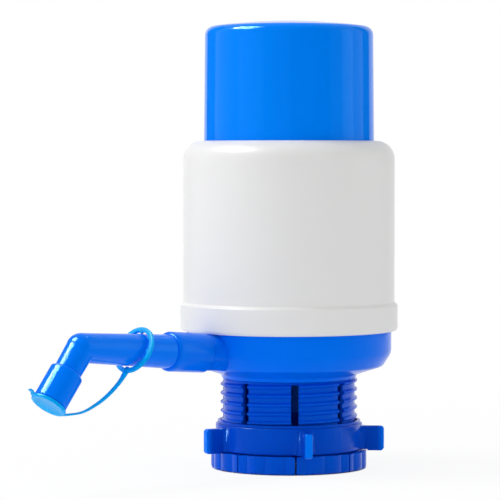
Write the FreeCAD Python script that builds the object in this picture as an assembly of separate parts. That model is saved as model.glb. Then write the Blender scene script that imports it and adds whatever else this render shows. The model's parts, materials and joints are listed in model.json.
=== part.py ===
# Water jug hand pump: press cap, bellows, water way, swivelling spout and a screw-down neck clamp.
# Millimetres, +Z up, spout towards -X. The origin is on the pump's axis, in the collet's foot plane.
import FreeCAD, Part
import math
import os
from FreeCAD import Placement, Rotation, Vector

# Shared clearances and walls
running_gap = 0.08
free_gap = 0.3
seat_gap = 0.1
shell_wall = 2.2
sink = 0.5
small_round = 0.5

# Bottle neck and collet
bottle_grip_r = 27.8
grip_height = 22.0
relief_r = 28.4
grip_chamfer = 0.8
thread_root_r = 29.9
thread_crest_r = 31.0
thread_pitch = 4.0
thread_flank = 3.1
thread_land = 0.7
thread_start_z = 12.0
thread_turns = 6.5
thread_start_flare = 0.6
foot_r = 35.5
foot_height = 8.0
foot_corner_r = 1.5
slot_count = 8
slot_width = 3.4
slot_top_z = 39.4
slit_width = 0.8
slot_phase = -130.0
flute_count = 24
flute_width = 2.2
flute_depth = 0.7
spigot_r = 29.3
collet_top_z = 40.4

# Clamp nut
nut_ring_r = 33.2
nut_height = 11.8
nut_bottom_z = 8.4
nut_corner_r = 0.6
nut_lead_in = 3.2
nut_flank_gap = 0.18
thread_gap = 0.15
wing_count = 5
wing_tip_r = 43.2
wing_thickness = 3.2
wing_height = 11.2
wing_droop = 0.6
wing_phase = -123.0
wing_corner_r = 1.6
wing_root_r = 2.0
wing_sink = 1.5
slip_ring_height = 1.2
slip_ring_r = 32.3

# Base housing
base_inset = 1.35
ledge_z = 62.0
bowl_low_z = 52.0
bowl_corner_r = 6.0
skirt_r = 30.3
cone_inner_r = 30.8
cone_inner_z = 42.2
cone_inset = 3.8
cone_outer_z = 46.0
cone_corner_r = 3.0
floor_bottom_z = 46.0
floor_thickness = 2.5
upstand_height = 10.0
upstand_wall = 2.4
upstand_gap = 0.2
snap_lug_count = 4
snap_lug_angle = 18.0
snap_lug_phase = 36.0
snap_lug_height = 2.0
snap_lug_reach = 0.9
snap_lug_face = 0.4
snap_groove_foot = 1.2
snap_groove_top = 0.6
snap_groove_ramp = 1.0
air_hole_count = 4
air_hole_r = 2.0
air_hole_circle_r = 12.5
air_hole_phase = 45.0
neck_seal_bore_r = 17.0
neck_seal_height = 2.0

# Water way and dip tube spigot
boss_r = 8.5
boss_height = 11.5
riser_plug_r = 5.4
riser_plug_length = 5.0
riser_flange_r = 7.6
riser_flange_height = 2.2
riser_spigot_r = 4.9
riser_spigot_length = 19.0
riser_bore_r = 3.3
riser_groove_depth = 1.0
channel_r = 3.5
channel_wall = 2.0
channel_z = 53.5
channel_inset = 5.0
riser_well_r = 4.3

# Spout socket
socket_reach = 74.8
socket_z = 56.0
spout_rise = 4.68
socket_root_r = 7.8
socket_root_depth = 7.0
collar_r = 8.9
collar_length = 21.0
collar_lip_r = 1.0
collar_back_r = 0.8
socket_depth = 33.0

# Spout
spout_mouth_r = 7.45
spout_elbow_r = 6.4
spout_run = 49.06
spout_shoulder = 15.7
stub_r = 5.95
spout_bore_r = 4.0
elbow_step = 0.1
elbow_overlap = 2.5
spout_bore_in_r = 3.6
nozzle_drop = 52.0
nozzle_r = 6.0
nozzle_length = 28.0
sleeve_start = 12.4
sleeve_r = 7.4
sleeve_chamfer = 0.8
oring_section = 1.05
oring_back = 6.0
oring_slack = 0.2

# Nozzle cap, tether ring and strap
plug_disc_r = 8.0
plug_disc_height = 1.4
plug_length = 7.0
plug_roll = 21.0
tab_reach = 10.8
tab_width = 3.6
tab_height = 0.8
tether_ring_r = 10.5
tether_ring_band = 2.1
tether_ring_height = 1.6
tether_ring_back = 30.2
tether_ring_tilt = 24.0
tooth_count = 8
tooth_width = 1.6
plug_corner_r = 0.8
strap_width = 1.8
strap_route = [
    (-101.0, -0.5, 45.8), (-106.4, -1.2, 41.6), (-113.0, -2.0, 37.7),
    (-119.3, -2.9, 35.2), (-125.2, -3.8, 33.4), (-130.6, -4.4, 32.8),
]

# Deck between the bellows and the air chamber
deck_top_z = 70.0
deck_thickness = 4.0
deck_groove_depth = 1.2
deck_post_r = 3.3
deck_post_inset = 3.6
deck_screw_count = 6
deck_screw_phase = 30.0
screw_r = 1.5
screw_head_r = 2.8
screw_head_height = 1.8
screw_length = 14.0
screw_point = 1.5
screw_point_share = 0.6
screw_slot_length = 2.8
screw_slot_width = 0.6
screw_slot_depth = 0.9
pilot_gap = 0.1
valve_hole_count = 6
valve_hole_r = 1.5
valve_hole_circle_r = 5.5
valve_disc_r = 9.0
valve_disc_height = 1.0
valve_edge_height = 0.6
valve_button_height = 0.6
valve_stem_r = 1.6
valve_bulb_r = 2.5
valve_bulb_height = 1.6
clamp_ring_inset = 1.05
clamp_ring_lap = 3.6
clamp_ring_height = 3.2

# Bellows and its head
bellows_crest_inset = 0.8
bellows_fold_depth = 7.5
bellows_crest_wall = 1.44
bellows_wall = 0.9
bellows_folds = 10
bellows_fold_pitch = 8.9
bellows_flange_inset = 3.4
bellows_flange_height = 1.2
bellows_neck_height = 3.4
bellows_top_flange = 1.0
head_inset = 3.5
head_height = 2.6
head_plug_length = 6.5
head_plug_wall = 2.2
head_screw_count = 3
head_screw_inset = 9.5
head_screw_phase = 90.0
head_screw_length = 10.0

# Body shell
shell_r = 47.75
shell_top_z = 147.6
shoulder_r = 8.3
rim_reach = 1.45
rim_height = 12.7
rim_chamfer = 1.0
rim_corner_r = 1.5

# Press cap
shoulder_ledge = 9.25
cap_draft = 0.5
cap_top_z = 201.6
cap_dome_r = 250.0
cap_corner_r = 4.0
cap_gap = 0.35
cap_skirt_length = 31.0
cap_stop_height = 2.6
cap_stop_reach = 2.2
cap_guide_height = 2.4
cap_post_r = 3.6
cap_rib_thickness = 1.8
cap_rib_drop = 2.0
cap_rib_cover = 0.6

# Places that follow from the sizes above
floor_top_z = floor_bottom_z + floor_thickness
boss_top_z = floor_top_z + boss_height
shell_inner_r = shell_r - shell_wall
rim_r = shell_r + rim_reach
cap_r = shell_r - shoulder_ledge
cap_top_r = cap_r - cap_draft
base_r = shell_r - base_inset
cone_outer_r = base_r - cone_inset
upstand_r = shell_inner_r - upstand_gap
upstand_bore_r = upstand_r - upstand_wall
upstand_top_z = ledge_z + upstand_height
deck_bottom_z = deck_top_z - deck_thickness
deck_r = upstand_bore_r - seat_gap
clamp_ring_r = deck_r - clamp_ring_inset
deck_post_circle_r = clamp_ring_r - deck_post_inset
bellows_flange_r = deck_post_circle_r - bellows_flange_inset
clamp_ring_bore_r = bellows_flange_r - clamp_ring_lap
bellows_crest_r = bellows_flange_r - bellows_crest_inset
bellows_root_r = bellows_crest_r - bellows_fold_depth
head_r = bellows_crest_r - head_inset
head_screw_circle_r = bellows_root_r - head_screw_inset
snap_lug_z = upstand_top_z - 2 * snap_lug_height
shell_hole_r = cap_r + cap_gap
cap_skirt_z = shell_top_z - cap_skirt_length
cap_stop_top_z = shell_top_z - shell_wall - free_gap
bellows_fold_z = deck_top_z + bellows_flange_height + bellows_neck_height
bellows_top_z = bellows_fold_z + bellows_folds * bellows_fold_pitch + bellows_neck_height
collar_start = collar_length / math.cos(math.radians(spout_rise))

spout_axis = Vector(-math.cos(math.radians(spout_rise)), 0, math.sin(math.radians(spout_rise)))
nozzle_axis = Vector(-math.cos(math.radians(nozzle_drop)), 0, -math.sin(math.radians(nozzle_drop)))
socket_mouth = Vector(-socket_reach, 0, socket_z)
elbow_point = socket_mouth + spout_axis * spout_run


def wire_of(corners):
    """A closed outline in the XZ plane; a corner is (r, z) or (r, z, radius of its rounding)."""
    points = [Vector(corner[0], 0, corner[1]) for corner in corners]
    count = len(points)
    starts = []
    ends = []
    mids = []
    for index, corner in enumerate(corners):
        here = points[index]
        radius = corner[2] if len(corner) > 2 else 0
        if radius == 0:
            starts.append(here)
            ends.append(here)
            mids.append(None)
            continue
        back = (points[index - 1] - here).normalize()
        ahead = (points[(index + 1) % count] - here).normalize()
        half = back.getAngle(ahead) / 2
        reach = radius / math.tan(half)
        middle = (back + ahead).normalize()
        starts.append(here + back * reach)
        ends.append(here + ahead * reach)
        mids.append(here + middle * (radius / math.sin(half) - radius))
    edges = []
    for index in range(count):
        if mids[index]:
            edges.append(Part.Arc(starts[index], mids[index], ends[index]).toShape())
        after = starts[(index + 1) % count]
        if ends[index].distanceToPoint(after) > 1e-6:
            edges.append(Part.LineSegment(ends[index], after).toShape())
    return Part.Wire(edges)


def turned(corners):
    """A solid of revolution about +Z from an outline of (r, z) corners."""
    return Part.Face(wire_of(corners)).revolve(Vector(0, 0, 0), Vector(0, 0, 1), 360)


def ring(inner_r, outer_r, low_z, high_z):
    """A plain ring about +Z."""
    return turned([(inner_r, low_z), (outer_r, low_z), (outer_r, high_z), (inner_r, high_z)])


def drum(radius, low_z, high_z, x=0.0, y=0.0):
    """A plain upright cylinder."""
    return Part.makeCylinder(radius, high_z - low_z, Vector(x, y, low_z))


def on_axis(shape, point, direction):
    """A shape made about +Z at the origin, laid on another axis."""
    moved = shape.copy()
    moved.Placement = Placement(point, Rotation(Vector(0, 0, 1), direction))
    return moved


def around(count, radius, phase=0.0):
    """The places of a round pattern, as (x, y, angle in degrees)."""
    places = []
    for index in range(count):
        angle = phase + 360 * index / count
        x = radius * math.cos(math.radians(angle))
        y = radius * math.sin(math.radians(angle))
        places.append((x, y, angle))
    return places


def turned_about_z(shape, angle):
    """A copy of a shape, turned about the pump's axis."""
    copy = shape.copy()
    copy.rotate(Vector(0, 0, 0), Vector(0, 0, 1), angle)
    return copy


def oring(middle_r, section_r, z=0.0):
    """An O-ring about +Z."""
    return Part.makeTorus(middle_r, section_r, Vector(0, 0, z))


def thread_ridge(root_r, crest_r, grow, start_z, turns):
    """One helical ridge of the clamp thread; grow widens its flanks for the nut's cut."""
    helix = Part.makeHelix(thread_pitch, thread_pitch * turns, root_r)
    sunk_r = root_r - sink
    flank = thread_flank / 2 + grow
    land = thread_land / 2 + grow
    corners = [(sunk_r, -flank), (crest_r, -land), (crest_r, land), (sunk_r, flank)]
    ridge = Part.Wire(helix.Edges).makePipeShell([wire_of(corners)], True, True)
    ridge.translate(Vector(0, 0, start_z))
    return ridge


def neck_collet():
    """Eight springy fingers with an outside thread, a fluted foot and a spigot for the base."""
    tube = turned([
        (bottle_grip_r, 0), (foot_r, 0, foot_corner_r), (foot_r, foot_height, foot_corner_r / 2),
        (thread_root_r + thread_start_flare, foot_height), (thread_root_r, thread_start_z - sink),
        (thread_root_r, collet_top_z), (spigot_r, collet_top_z), (spigot_r, floor_bottom_z),
        (relief_r, floor_bottom_z), (relief_r, grip_height + grip_chamfer), (bottle_grip_r, grip_height),
    ])
    tube = tube.fuse(thread_ridge(thread_root_r, thread_crest_r, 0, thread_start_z, thread_turns))
    cuts = []
    slot = Part.makeBox(foot_r + 1, slot_width, slot_top_z - foot_height,
                        Vector(0, -slot_width / 2, foot_height))
    slit = Part.makeBox(foot_r + 1, slit_width, foot_height + 2, Vector(0, -slit_width / 2, -1))
    for _, _, angle in around(slot_count, 0, slot_phase):
        cuts += [turned_about_z(slot, angle), turned_about_z(slit, angle)]
    flute = Part.makeBox(flute_depth + 1, flute_width, foot_height + 2,
                         Vector(foot_r - flute_depth, -flute_width / 2, -1))
    half_step = 180 / flute_count
    for _, _, angle in around(flute_count, 0, slot_phase + half_step):
        cuts.append(turned_about_z(flute, angle))
    return tube.cut(cuts)


def clamp_nut():
    """The winged nut that runs down the fingers' thread and squeezes them on the bottle's neck."""
    top_z = nut_bottom_z + nut_height
    body = turned([
        (0, nut_bottom_z), (nut_ring_r, nut_bottom_z, nut_corner_r),
        (nut_ring_r, top_z, nut_corner_r), (0, top_z),
    ])
    wing = winged_blade()
    blades = [turned_about_z(wing, angle) for _, _, angle in around(wing_count, 0, wing_phase)]
    body = body.fuse(blades).removeSplitter()
    turns_below = 2
    start_z = thread_start_z - turns_below * thread_pitch
    cut_turns = (top_z - start_z) / thread_pitch + 1
    bore_r = thread_root_r + thread_gap
    groove = thread_ridge(bore_r, thread_crest_r + thread_gap, nut_flank_gap, start_z, cut_turns)
    lead_in = Part.makeCone(thread_crest_r + sink, bore_r, nut_lead_in, Vector(0, 0, nut_bottom_z))
    foot_room = drum(foot_r + free_gap, 0, nut_bottom_z)
    return body.cut([drum(bore_r, 0, top_z + 1), groove, lead_in, foot_room])


def winged_blade():
    """One finger wing of the nut, with a rounded outer top corner and a blend into the ring."""
    low_z = nut_bottom_z - wing_droop
    high_z = low_z + wing_height
    root_r = nut_ring_r - wing_sink
    blade = Part.makeBox(wing_tip_r - root_r, wing_thickness, wing_height,
                         Vector(root_r, -wing_thickness / 2, low_z))
    tip = [e for e in blade.Edges if is_along(e, Vector(0, 1, 0)) and e.CenterOfMass.x > wing_tip_r - 0.01]
    blade = blade.makeFillet(wing_corner_r, tip)
    sides = [e for e in blade.Edges if e.CenterOfMass.x > wing_tip_r - 0.01 and is_along(e, Vector(0, 0, 1))]
    blade = blade.makeFillet(small_round, sides)
    web = Part.makeBox(wing_root_r + wing_sink, wing_thickness + 2 * wing_root_r, high_z - nut_bottom_z,
                       Vector(root_r, -wing_thickness / 2 - wing_root_r, nut_bottom_z))
    scoops = []
    for side in (-1, 1):
        x = nut_ring_r + wing_root_r
        y = side * (wing_thickness / 2 + wing_root_r)
        scoops.append(drum(wing_root_r, low_z, high_z + 1, x, y))
    return blade.fuse(web.cut(scoops))


def is_along(edge, direction):
    """True for a straight edge that runs along a direction."""
    if not isinstance(edge.Curve, Part.Line):
        return False
    return abs(edge.Curve.Direction.dot(direction)) > 0.999


def slip_ring():
    """A thin ring that lies on the nut and keeps it from scraping the base."""
    low_z = nut_bottom_z + nut_height
    return ring(thread_crest_r + seat_gap, slip_ring_r, low_z + seat_gap / 2, low_z + slip_ring_height)


def base_bowl():
    """The turned part of the base: skirt, cone, bowl, ledge and the upstand inside the shell."""
    return turned([
        (0, floor_bottom_z), (spigot_r + seat_gap, floor_bottom_z),
        (spigot_r + seat_gap, collet_top_z + seat_gap),
        (skirt_r, collet_top_z + seat_gap), (cone_inner_r, cone_inner_z),
        (cone_outer_r, cone_outer_z, cone_corner_r), (base_r, bowl_low_z, bowl_corner_r), (base_r, ledge_z),
        (upstand_r, ledge_z), (upstand_r, upstand_top_z), (upstand_bore_r, upstand_top_z),
        (upstand_bore_r, floor_top_z, cone_corner_r), (0, floor_top_z),
    ])


def snap_lugs():
    """Short ramps on the upstand that catch the groove inside the shell."""
    lug = turned([
        (upstand_r - sink, snap_lug_z - snap_lug_height / 2),
        (upstand_r + snap_lug_reach, snap_lug_z - snap_lug_face), (upstand_r + snap_lug_reach, snap_lug_z),
        (upstand_r - sink, snap_lug_z + snap_lug_height / 2),
    ])
    sector = Part.makeCylinder(upstand_r + 3, upstand_height, Vector(0, 0, ledge_z),
                               Vector(0, 0, 1), snap_lug_angle)
    lug = lug.common(sector)
    return [turned_about_z(lug, angle) for _, _, angle in around(snap_lug_count, 0, snap_lug_phase)]


def base_housing():
    """The blue base: it seats the bottle, carries the deck and shell and leads the water to the socket."""
    root_in = Vector(socket_root_depth - base_r, 0, 0)
    root_in.z = socket_z - (socket_reach + root_in.x) * math.tan(math.radians(spout_rise))
    root_length = (socket_mouth - root_in).Length
    socket = Part.makeCylinder(socket_root_r, root_length, root_in, spout_axis)
    collar = on_axis(turned([
        (0, 0), (collar_r, 0, collar_back_r), (collar_r, collar_start, collar_lip_r), (0, collar_start),
    ]), socket_mouth - spout_axis * collar_start, spout_axis)
    boss = drum(boss_r, floor_top_z - sink, boss_top_z)
    channel = Part.makeCylinder(channel_r + channel_wall, base_r - channel_inset,
                                Vector(0, 0, channel_z), Vector(-1, 0, 0))
    solids = [socket, collar, boss, channel] + snap_lugs()
    for x, y, _ in deck_screw_places():
        solids.append(drum(deck_post_r, floor_top_z - sink, deck_bottom_z, x, y))
    base = base_bowl().fuse(solids)
    cuts = [
        drum(riser_plug_r + running_gap, floor_bottom_z - 1, floor_bottom_z + riser_plug_length + seat_gap),
        drum(riser_well_r, floor_bottom_z, channel_z + channel_r),
        Part.makeCylinder(channel_r, base_r - channel_inset + 1, Vector(0, 0, channel_z), Vector(-1, 0, 0)),
        Part.makeCylinder(stub_r + running_gap, socket_depth, socket_mouth, spout_axis * -1),
        Part.makeCylinder(spout_mouth_r + running_gap, spout_shoulder + free_gap,
                          socket_mouth, spout_axis * -1),
    ]
    for x, y, _ in around(air_hole_count, air_hole_circle_r, air_hole_phase):
        cuts.append(drum(air_hole_r, floor_bottom_z - 1, floor_top_z + 1, x, y))
    for x, y, _ in deck_screw_places():
        cuts.append(drum(screw_r + pilot_gap, deck_bottom_z - screw_length, deck_bottom_z + 1, x, y))
    return base.cut(cuts)


def neck_seal():
    """The flat gasket that the bottle's mouth presses on."""
    return ring(neck_seal_bore_r, relief_r - free_gap, floor_bottom_z - neck_seal_height, floor_bottom_z)


def riser():
    """The fitting under the floor that the dip tube pushes on to."""
    flange_low = floor_bottom_z - riser_flange_height
    tip_z = flange_low - riser_spigot_length
    plug_top_z = floor_bottom_z + riser_plug_length
    groove_r = riser_plug_r - riser_groove_depth
    groove_low_z = riser_groove_z() - riser_groove_depth / 2 - seat_gap
    groove_high_z = riser_groove_z() + riser_groove_depth / 2 + seat_gap
    return turned([
        (riser_bore_r, tip_z), (riser_spigot_r, tip_z), (riser_spigot_r, flange_low),
        (riser_flange_r, flange_low, small_round), (riser_flange_r, floor_bottom_z),
        (riser_plug_r, floor_bottom_z), (riser_plug_r, groove_low_z), (groove_r, groove_low_z),
        (groove_r, groove_high_z), (riser_plug_r, groove_high_z),
        (riser_plug_r, plug_top_z, small_round), (riser_bore_r, plug_top_z),
    ])


def riser_groove_z():
    """The height of the riser's O-ring groove."""
    return floor_bottom_z + riser_plug_length / 2


def riser_seal():
    """The O-ring in the riser's groove."""
    section_r = riser_groove_depth / 2
    return oring(riser_plug_r - section_r, section_r, riser_groove_z())


def deck_screw_places():
    """Where the deck's screws stand."""
    return around(deck_screw_count, deck_post_circle_r, deck_screw_phase)


def air_deck():
    """The plate that closes the air chamber and carries the bellows."""
    groove_mid_z = deck_bottom_z + deck_thickness / 2
    groove_half = deck_groove_depth / 2 + seat_gap
    groove_r = deck_r - deck_groove_depth
    plate = turned([
        (0, deck_bottom_z), (deck_r, deck_bottom_z), (deck_r, groove_mid_z - groove_half),
        (groove_r, groove_mid_z - groove_half), (groove_r, groove_mid_z + groove_half),
        (deck_r, groove_mid_z + groove_half), (deck_r, deck_top_z), (0, deck_top_z),
    ])
    cuts = valve_holes(deck_bottom_z, deck_top_z)
    for x, y, _ in deck_screw_places():
        cuts.append(drum(screw_r + pilot_gap, deck_bottom_z - 1, deck_top_z + 1, x, y))
    return plate.cut(cuts)


def valve_holes(low_z, high_z):
    """The ring of air holes under an umbrella valve, and the hole for its stem."""
    holes = [drum(valve_stem_r + pilot_gap, low_z - 1, high_z + 1)]
    for x, y, _ in around(valve_hole_count, valve_hole_circle_r):
        holes.append(drum(valve_hole_r, low_z - 1, high_z + 1, x, y))
    return holes


def umbrella_valve(plate_low_z, plate_high_z):
    """A soft umbrella valve under a plate, held by the bulb of its stem."""
    low_z = plate_low_z - valve_disc_height
    bulb_top_z = plate_high_z + valve_bulb_height
    return turned([
        (0, low_z - valve_button_height), (valve_bulb_r, low_z - valve_button_height),
        (valve_disc_r, plate_low_z - valve_edge_height), (valve_disc_r, plate_low_z),
        (valve_stem_r, plate_low_z), (valve_stem_r, plate_high_z), (valve_bulb_r, plate_high_z),
        (valve_bulb_r, plate_high_z + sink), (valve_stem_r - sink, bulb_top_z), (0, bulb_top_z),
    ])


def deck_seal():
    """The O-ring round the deck."""
    section_r = deck_groove_depth / 2
    return oring(deck_r - deck_groove_depth + section_r, section_r, deck_bottom_z + deck_thickness / 2)


def bellows_clamp_ring():
    """The ring that holds the bellows' lower flange on the deck."""
    top_z = deck_top_z + clamp_ring_height
    body = turned([
        (bellows_flange_r + seat_gap, deck_top_z), (clamp_ring_r, deck_top_z),
        (clamp_ring_r, top_z, small_round),
        (clamp_ring_bore_r, top_z, small_round), (clamp_ring_bore_r, deck_top_z + bellows_flange_height),
        (bellows_flange_r + seat_gap, deck_top_z + bellows_flange_height),
    ])
    cuts = []
    for x, y, _ in deck_screw_places():
        cuts.append(drum(screw_r + pilot_gap, deck_top_z - 1, top_z + 1, x, y))
    return body.cut(cuts)


def pan_screw(length, seat_z, x, y, points_down=True):
    """A small pan-head screw with a cross slot, its head seated at seat_z."""
    slot_z = screw_head_height - screw_slot_depth
    screw = turned([
        (0, -length), (screw_r * screw_point_share, -length), (screw_r, screw_point - length),
        (screw_r, 0), (screw_head_r, 0),
        (screw_head_r, screw_head_height, 2 * small_round), (0, screw_head_height),
    ])
    slots = []
    for angle in (0, 90):
        bar = Part.makeBox(screw_slot_length, screw_slot_width, screw_head_height,
                           Vector(-screw_slot_length / 2, -screw_slot_width / 2, slot_z))
        slots.append(turned_about_z(bar, angle))
    screw = screw.cut(slots)
    if not points_down:
        screw.rotate(Vector(0, 0, 0), Vector(1, 0, 0), 180)
    screw.translate(Vector(x, y, seat_z))
    return screw


def deck_screws():
    """The screws through the clamp ring and deck into the base."""
    seat_z = deck_top_z + clamp_ring_height
    return Part.makeCompound([pan_screw(screw_length, seat_z, x, y) for x, y, _ in deck_screw_places()])


def bellows():
    """The blow-moulded bellows, with a lower flange and an upper neck."""
    base_z = deck_top_z
    neck_r = bellows_root_r
    outer = [(bellows_flange_r, base_z), (bellows_flange_r, base_z + bellows_flange_height),
             (neck_r, base_z + bellows_flange_height)]
    inner = [(neck_r - bellows_wall, base_z)]
    for fold in range(bellows_folds):
        low_z = bellows_fold_z + fold * bellows_fold_pitch
        outer.append((neck_r, low_z))
        outer.append((bellows_crest_r, low_z + bellows_fold_pitch / 2))
        inner.append((neck_r - bellows_wall, low_z))
        inner.append((bellows_crest_r - bellows_crest_wall, low_z + bellows_fold_pitch / 2))
    last_z = bellows_fold_z + bellows_folds * bellows_fold_pitch
    flange_r = head_r - bellows_top_flange
    outer += [(neck_r, last_z), (neck_r, bellows_top_z - bellows_top_flange),
              (flange_r, bellows_top_z - bellows_top_flange), (flange_r, bellows_top_z)]
    inner += [(neck_r - bellows_wall, last_z), (neck_r - bellows_wall, bellows_top_z)]
    return turned(outer + inner[::-1])


def bellows_head():
    """The plate that plugs the bellows' top and takes the intake valve."""
    plug_r = bellows_root_r - bellows_wall - running_gap
    top_z = bellows_top_z + head_height
    plug_low_z = bellows_top_z - head_plug_length
    plate = turned([
        (0, bellows_top_z), (plug_r - head_plug_wall, bellows_top_z), (plug_r - head_plug_wall, plug_low_z),
        (plug_r, plug_low_z), (plug_r, bellows_top_z), (head_r, bellows_top_z),
        (head_r, top_z, small_round), (0, top_z),
    ])
    cuts = valve_holes(bellows_top_z, top_z)
    for x, y, _ in around(head_screw_count, head_screw_circle_r, head_screw_phase):
        cuts.append(drum(screw_r + pilot_gap, bellows_top_z - 1, top_z + 1, x, y))
    return plate.cut(cuts)


def head_screws():
    """The screws that hold the head under the press cap's posts."""
    places = around(head_screw_count, head_screw_circle_r, head_screw_phase)
    return Part.makeCompound([pan_screw(head_screw_length, bellows_top_z, x, y, False) for x, y, _ in places])


def domed_plug(low_r, high_r, low_z, top_z, dome_r, corner_r):
    """A slightly tapering drum with a shallow domed top and a rounded edge."""
    drum_body = Part.makeCone(low_r, high_r, top_z - low_z, Vector(0, 0, low_z))
    ball = Part.makeSphere(dome_r, Vector(0, 0, top_z - dome_r))
    body = drum_body.common(ball)
    dome = [f for f in body.Faces if isinstance(f.Surface, Part.Sphere)][0]
    rim = [e for e in dome.Edges if e.BoundBox.ZLength < 0.01 and e.Length > corner_r]
    return body.makeFillet(corner_r, rim)


def press_cap():
    """The blue cap under the hand, with a stop flange, posts for the bellows' head and ribs on them."""
    skirt = drum(cap_r, cap_skirt_z, shell_top_z + sink)
    outer = domed_plug(cap_r, cap_top_r, shell_top_z, cap_top_z, cap_dome_r, cap_corner_r).fuse(skirt)
    inner_r = cap_r - shell_wall
    inner = domed_plug(inner_r, cap_top_r - shell_wall, shell_top_z, cap_top_z - shell_wall,
                       cap_dome_r, cap_corner_r - shell_wall / 2)
    inner = inner.fuse(drum(inner_r, cap_skirt_z - 1, shell_top_z + sink))
    stop = ring(inner_r + sink, cap_r + cap_stop_reach, cap_stop_top_z - cap_stop_height, cap_stop_top_z)
    guide = ring(inner_r + sink, shell_inner_r - free_gap, cap_skirt_z, cap_skirt_z + cap_guide_height)
    cup = outer.cut(inner).fuse([stop, guide])
    posts = []
    post_low_z = bellows_top_z + head_height
    rib_low_z = post_low_z + cap_rib_drop
    rib_length = cap_r - shell_wall / 2 - head_screw_circle_r
    rib = Part.makeBox(rib_length, cap_rib_thickness, cap_top_z - shell_wall - rib_low_z,
                       Vector(head_screw_circle_r, -cap_rib_thickness / 2, rib_low_z))
    for x, y, angle in around(head_screw_count, head_screw_circle_r, head_screw_phase):
        posts.append(drum(cap_post_r, post_low_z, cap_top_z - shell_wall, x, y))
        posts.append(turned_about_z(rib, angle))
    posts = Part.makeCompound(posts)
    trim = domed_plug(cap_r - cap_rib_cover, cap_top_r - cap_rib_cover, post_low_z,
                      cap_top_z - cap_rib_cover, cap_dome_r, cap_corner_r)
    cup = cup.fuse([solid.common(trim) for solid in posts.Solids])
    pilots = []
    for x, y, _ in around(head_screw_count, head_screw_circle_r, head_screw_phase):
        pilots.append(drum(screw_r + pilot_gap, post_low_z - 1, post_low_z + head_screw_length, x, y))
    return cup.cut(pilots).removeSplitter()


def body_shell():
    """The white shell with its rounded shoulder, cap hole and raised rim band."""
    rim_top_z = ledge_z + rim_height
    edge_r = rim_chamfer / 3
    groove_r = upstand_r + snap_lug_reach + free_gap
    groove_low_z = snap_lug_z - snap_groove_foot
    groove_top_z = snap_lug_z + snap_groove_top
    return turned([
        (shell_inner_r, ledge_z), (rim_r, ledge_z, rim_corner_r), (rim_r, rim_top_z - rim_chamfer, edge_r),
        (rim_r - rim_chamfer, rim_top_z, edge_r), (shell_r, rim_top_z), (shell_r, shell_top_z, shoulder_r),
        (shell_hole_r, shell_top_z), (shell_hole_r, shell_top_z - shell_wall),
        (shell_inner_r, shell_top_z - shell_wall, shoulder_r - shell_wall),
        (shell_inner_r, groove_top_z + snap_groove_ramp), (groove_r, groove_top_z),
        (groove_r, groove_low_z), (shell_inner_r, groove_low_z),
    ])


def spout_elbow():
    """The bent spout: a stub in the socket, a tube with a round end, and the nozzle with its sleeve."""
    narrowing = (spout_mouth_r - spout_elbow_r) / spout_run
    end_z = spout_run + spout_elbow_r
    end_r = spout_mouth_r - narrowing * end_z
    stub_z = free_gap - socket_depth
    tube = turned([
        (0, stub_z), (stub_r, stub_z), (stub_r, -spout_shoulder), (spout_mouth_r, -spout_shoulder),
        (spout_mouth_r, 0), (end_r, end_z, end_r - elbow_step), (0, end_z),
    ])
    nozzle = turned([
        (0, 0), (spout_elbow_r - elbow_step, 0), (nozzle_r, sleeve_start),
        (sleeve_r - sleeve_chamfer, sleeve_start), (sleeve_r, sleeve_start + sleeve_chamfer, small_round),
        (sleeve_r, nozzle_length, small_round), (0, nozzle_length),
    ])
    body = on_axis(tube, socket_mouth, spout_axis).fuse(on_axis(nozzle, elbow_point, nozzle_axis))
    bore_in = Part.makeCylinder(spout_bore_in_r, spout_run + socket_depth + elbow_overlap,
                                elbow_point + spout_axis * elbow_overlap, spout_axis * -1)
    bore_out = Part.makeCylinder(spout_bore_r, nozzle_length + elbow_overlap + 1,
                                 elbow_point - nozzle_axis * elbow_overlap, nozzle_axis)
    return body.cut([oring_groove(), bore_in, bore_out])


def oring_groove():
    """The ring cut round the spout's stub for its O-ring."""
    groove_low = socket_depth - oring_back
    cut = ring(stub_r - oring_section, stub_r + 1, 0, oring_section * 2 + oring_slack)
    return on_axis(cut, socket_mouth - spout_axis * groove_low, spout_axis)


def spout_seal():
    """The O-ring on the spout's stub."""
    section_r = oring_section / 2
    middle = socket_mouth - spout_axis * (socket_depth - oring_back - oring_section - oring_slack / 2)
    return on_axis(oring(stub_r - section_r, section_r), middle, spout_axis)


def tether_ring():
    """The soft toothed ring round the spout's tube; its teeth hold it off the tube."""
    outline = ring(tether_ring_r - tether_ring_band, tether_ring_r, 0, tether_ring_height)
    tooth_low_r = tether_tube_r() + free_gap
    teeth = []
    for _, _, angle in around(tooth_count, 0):
        tooth = Part.makeBox(tether_ring_r - sink - tooth_low_r, tooth_width, tether_ring_height,
                             Vector(tooth_low_r, -tooth_width / 2, 0))
        teeth.append(turned_about_z(tooth, angle))
    body = outline.fuse(teeth).removeSplitter()
    body.translate(Vector(0, 0, -tether_ring_height / 2))
    tilt = Rotation(Vector(0, 1, 0), tether_ring_tilt)
    placed = body.copy()
    placed.Placement = Placement(tether_middle(), tilt.multiply(Rotation(Vector(0, 0, 1), spout_axis)))
    return placed


def tether_middle():
    """The middle of the tether ring on the spout's axis."""
    return elbow_point - spout_axis * tether_ring_back


def strap_root():
    """Where the strap grows out of the tether ring's lowest point."""
    down = Rotation(Vector(0, 1, 0), tether_ring_tilt).multVec(Vector(-spout_axis.z, 0, spout_axis.x))
    return tether_middle() + down * (tether_ring_r - tether_ring_band / 2)


def tether_tube_r():
    """How wide the ring's teeth have to stand, for a ring that sits tilted on the tapering tube."""
    along = (spout_run - tether_ring_back) / spout_run
    tube_r = spout_mouth_r + (spout_elbow_r - spout_mouth_r) * along
    tilt = math.radians(tether_ring_tilt)
    return tube_r / math.cos(tilt) + tether_ring_height / 2 * math.tan(tilt)


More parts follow.
